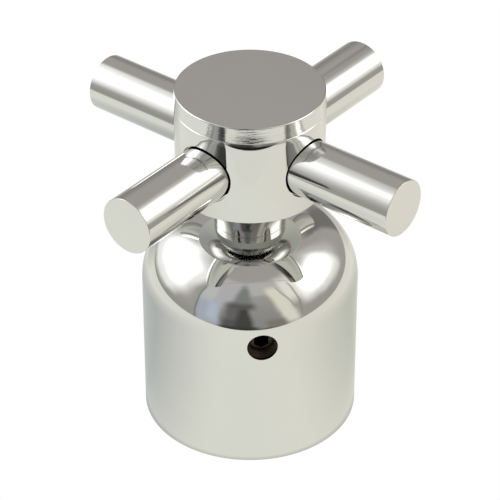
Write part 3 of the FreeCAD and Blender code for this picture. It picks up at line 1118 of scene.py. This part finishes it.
# A patch holds its name, colour, sides, levels, softness and, where its sides lean, their lean.
tent_patches = [
    ("back_right", (0.32, 0.305, 0.285), (150, 200), (-4, 22), (12, 14)),
    ("back_left", (0.32, 0.305, 0.285), (-200, -150), (-4, 22), (12, 14)),
    ("upper_front", (0.61, 0.61, 0.595), (-55, 45), (38, 60), (12, 4)),
    ("left_haze", (0.80, 0.80, 0.78), (-140, -80), (30, 66), (14, 10)),
    ("left_front_haze", (0.84, 0.84, 0.83), (-104, -75), (9, 44), (9, 8)),
    ("left_glow", (1.2, 1.2, 1.18), (-150, -93), (-6, 59), (10, 8), (0.0, 0.57)),
    ("left_softbox", (4.0, 4.0, 3.9), (-136, -92), (18, 46), (13, 13)),
    ("right_haze", (0.75, 0.74, 0.70), (54, 122), (14, 58), (10, 12)),
    ("right_floor_glow", (0.85, 0.84, 0.80), (74, 112), (4, 20), (8, 5)),
    ("right_front_glow", (1.05, 1.03, 0.94), (33, 62), (18, 56), (4, 10)),
    ("right_glow", (1.22, 1.21, 1.14), (51, 112), (9, 50), (5, 9)),
    ("right_softbox", (4.0, 4.0, 3.85), (62, 104), (23, 42), (12, 13)),
    ("side_post", (0.23, 0.22, 0.20), (140, 156), (-12, 42), (3, 6)),
    ("lavender_cloth", (0.61, 0.60, 0.62), (-52, -18), (12, 50), (6, 10)),
    ("pale_cloth", (0.67, 0.70, 0.67), (-62, -46), (12, 44), (3, 6)),
    ("left_skirting", (0.42, 0.43, 0.38), (-150, -62), (-14, -1), (7, 5)),
    ("right_skirting", (0.46, 0.44, 0.40), (45, 90), (-16, 2), (5, 5)),
    ("blue_window", (0.52, 0.57, 0.66), (-61, -37), (-20, 20), (3, 9)),
    ("window_sky", (0.60, 0.68, 0.80), (-50, -39), (-8, 19), (4, 8)),
    ("warm_curtain", (0.97, 0.95, 0.82), (25, 41), (-14, 48), (4, 6), (-0.26, -0.25)),
    ("curtain_seam", (0.50, 0.48, 0.41), (43, 45), (0, 48), (1, 4), (-0.36, -0.36)),
    ("right_seam", (0.40, 0.38, 0.34), (45.4, 47.2), (-6, 48), (1, 4)),
    ("left_seam", (0.26, 0.28, 0.27), (-63.8, -62.2), (-16, 38), (1, 4)),
    ("opening", (0.35, 0.35, 0.34), (-8, 24), (-60, 18), (6, 24), (0.05, -0.27)),
    ("brown_corner", (0.28, 0.26, 0.23), (10, 27), (-60, -4), (5, 5), (0.0, -0.27)),
    ("dark_cloth", (0.18, 0.175, 0.175), (-34, -14), (-60, 21), (6, 5), (0.12, 0.0)),
    ("dark_hem", (0.13, 0.125, 0.13), (-34, -18), (-60, -3), (5, 4)),
    ("gap_above", (0.28, 0.30, 0.29), (-33, 2), (18, 54), (5, 8), (0.27, -0.22)),
    ("dark_band", (0.14, 0.14, 0.135), (-31, -2), (15, 25), (7, 5)),
    ("dark_gap", (0.08, 0.08, 0.075), (-20, -5), (-60, 17), (4, 5), (0.1, -0.2)),
    ("paper_apron", (0.96, 0.96, 0.88), (-90, 90), (-90, -20), (6, 2)),
    ("left_apron", (0.96, 0.96, 0.88), (-200, -66), (-90, -16), (5, 2)),
    ("right_apron", (0.96, 0.96, 0.88), (60, 200), (-90, -14), (5, 2)),
]
dark_patches = [
    ("below_table", (0.06, 0.06, 0.054), (-38, 2), (-40, -15), (6, 3)),
    ("below_table_right", (0.12, 0.12, 0.11), (-5, 44), (-40, -18), (4, 2)),
    ("under_table", (0.018, 0.018, 0.015), (-48, 44), (-40, -20), (5, 2)),
]
painted = tent_cloth
for patch in tent_patches:
    painted = painted_over(painted, *patch)
off_middle = reckoned(tent, "POWER", reckoned(tent, "SUBTRACT", azimuth, table_middle), 2.0)
edge_bow = reckoned(tent, "MULTIPLY", off_middle, table_bow)
over_edge = clamped_rise(tent, reckoned(tent, "SUBTRACT", elevation, edge_bow), *table_edge)
for patch in dark_patches:
    painted = painted_over(painted, *patch, within=over_edge)

tilted = reckoned(tent, "MULTIPLY", parts.outputs["Y"], math.sin(front_seam))
raised = reckoned(tent, "MULTIPLY", parts.outputs["Z"], math.cos(front_seam))
off_seam = reckoned(tent, "ABSOLUTE", reckoned(tent, "ADD", tilted, raised))
on_seam = clamped_rise(tent, off_seam, seam_half_width, 0.0)
in_front = clamped_rise(tent, ahead, *seam_front)
painted = mixed_colour(tent, reckoned(tent, "MULTIPLY", on_seam, in_front), painted, seam_shade)

light = nodes["Background"]
links.new(painted, light.inputs["Color"])
backdrop = nodes.new("ShaderNodeBackground")
backdrop.inputs["Color"].default_value = (*white, 1.0)
path = nodes.new("ShaderNodeLightPath")
view = nodes.new("ShaderNodeMixShader")
links.new(path.outputs["Is Camera Ray"], view.inputs["Fac"])
links.new(light.outputs["Background"], view.inputs[1])
links.new(backdrop.outputs["Background"], view.inputs[2])
links.new(view.outputs["Shader"], nodes["World Output"].inputs["Surface"])
bpy.context.scene.world = world

# Camera
# A long lens from the front and above, at the photograph's angle.
camera_azimuth = math.radians(-6.5)
camera_elevation = math.radians(35.19)
camera_distance = 0.50972
camera_lens = 173.16
camera_sensor = 36.0
camera_target = Vector((0, 0, 0.03868))
back = Vector((
    math.sin(camera_azimuth) * math.cos(camera_elevation),
    -math.cos(camera_azimuth) * math.cos(camera_elevation),
    math.sin(camera_elevation),
))
lens = bpy.data.cameras.new("camera")
lens.lens = camera_lens
lens.sensor_width = camera_sensor
camera = bpy.data.objects.new("camera", lens)
bpy.context.scene.collection.objects.link(camera)
camera.location = camera_target + back * camera_distance
camera.rotation_mode = "QUATERNION"
camera.rotation_quaternion = (-back).to_track_quat("-Z", "Y")
bpy.context.scene.camera = camera
bpy.context.scene.view_settings.view_transform = "Standard"
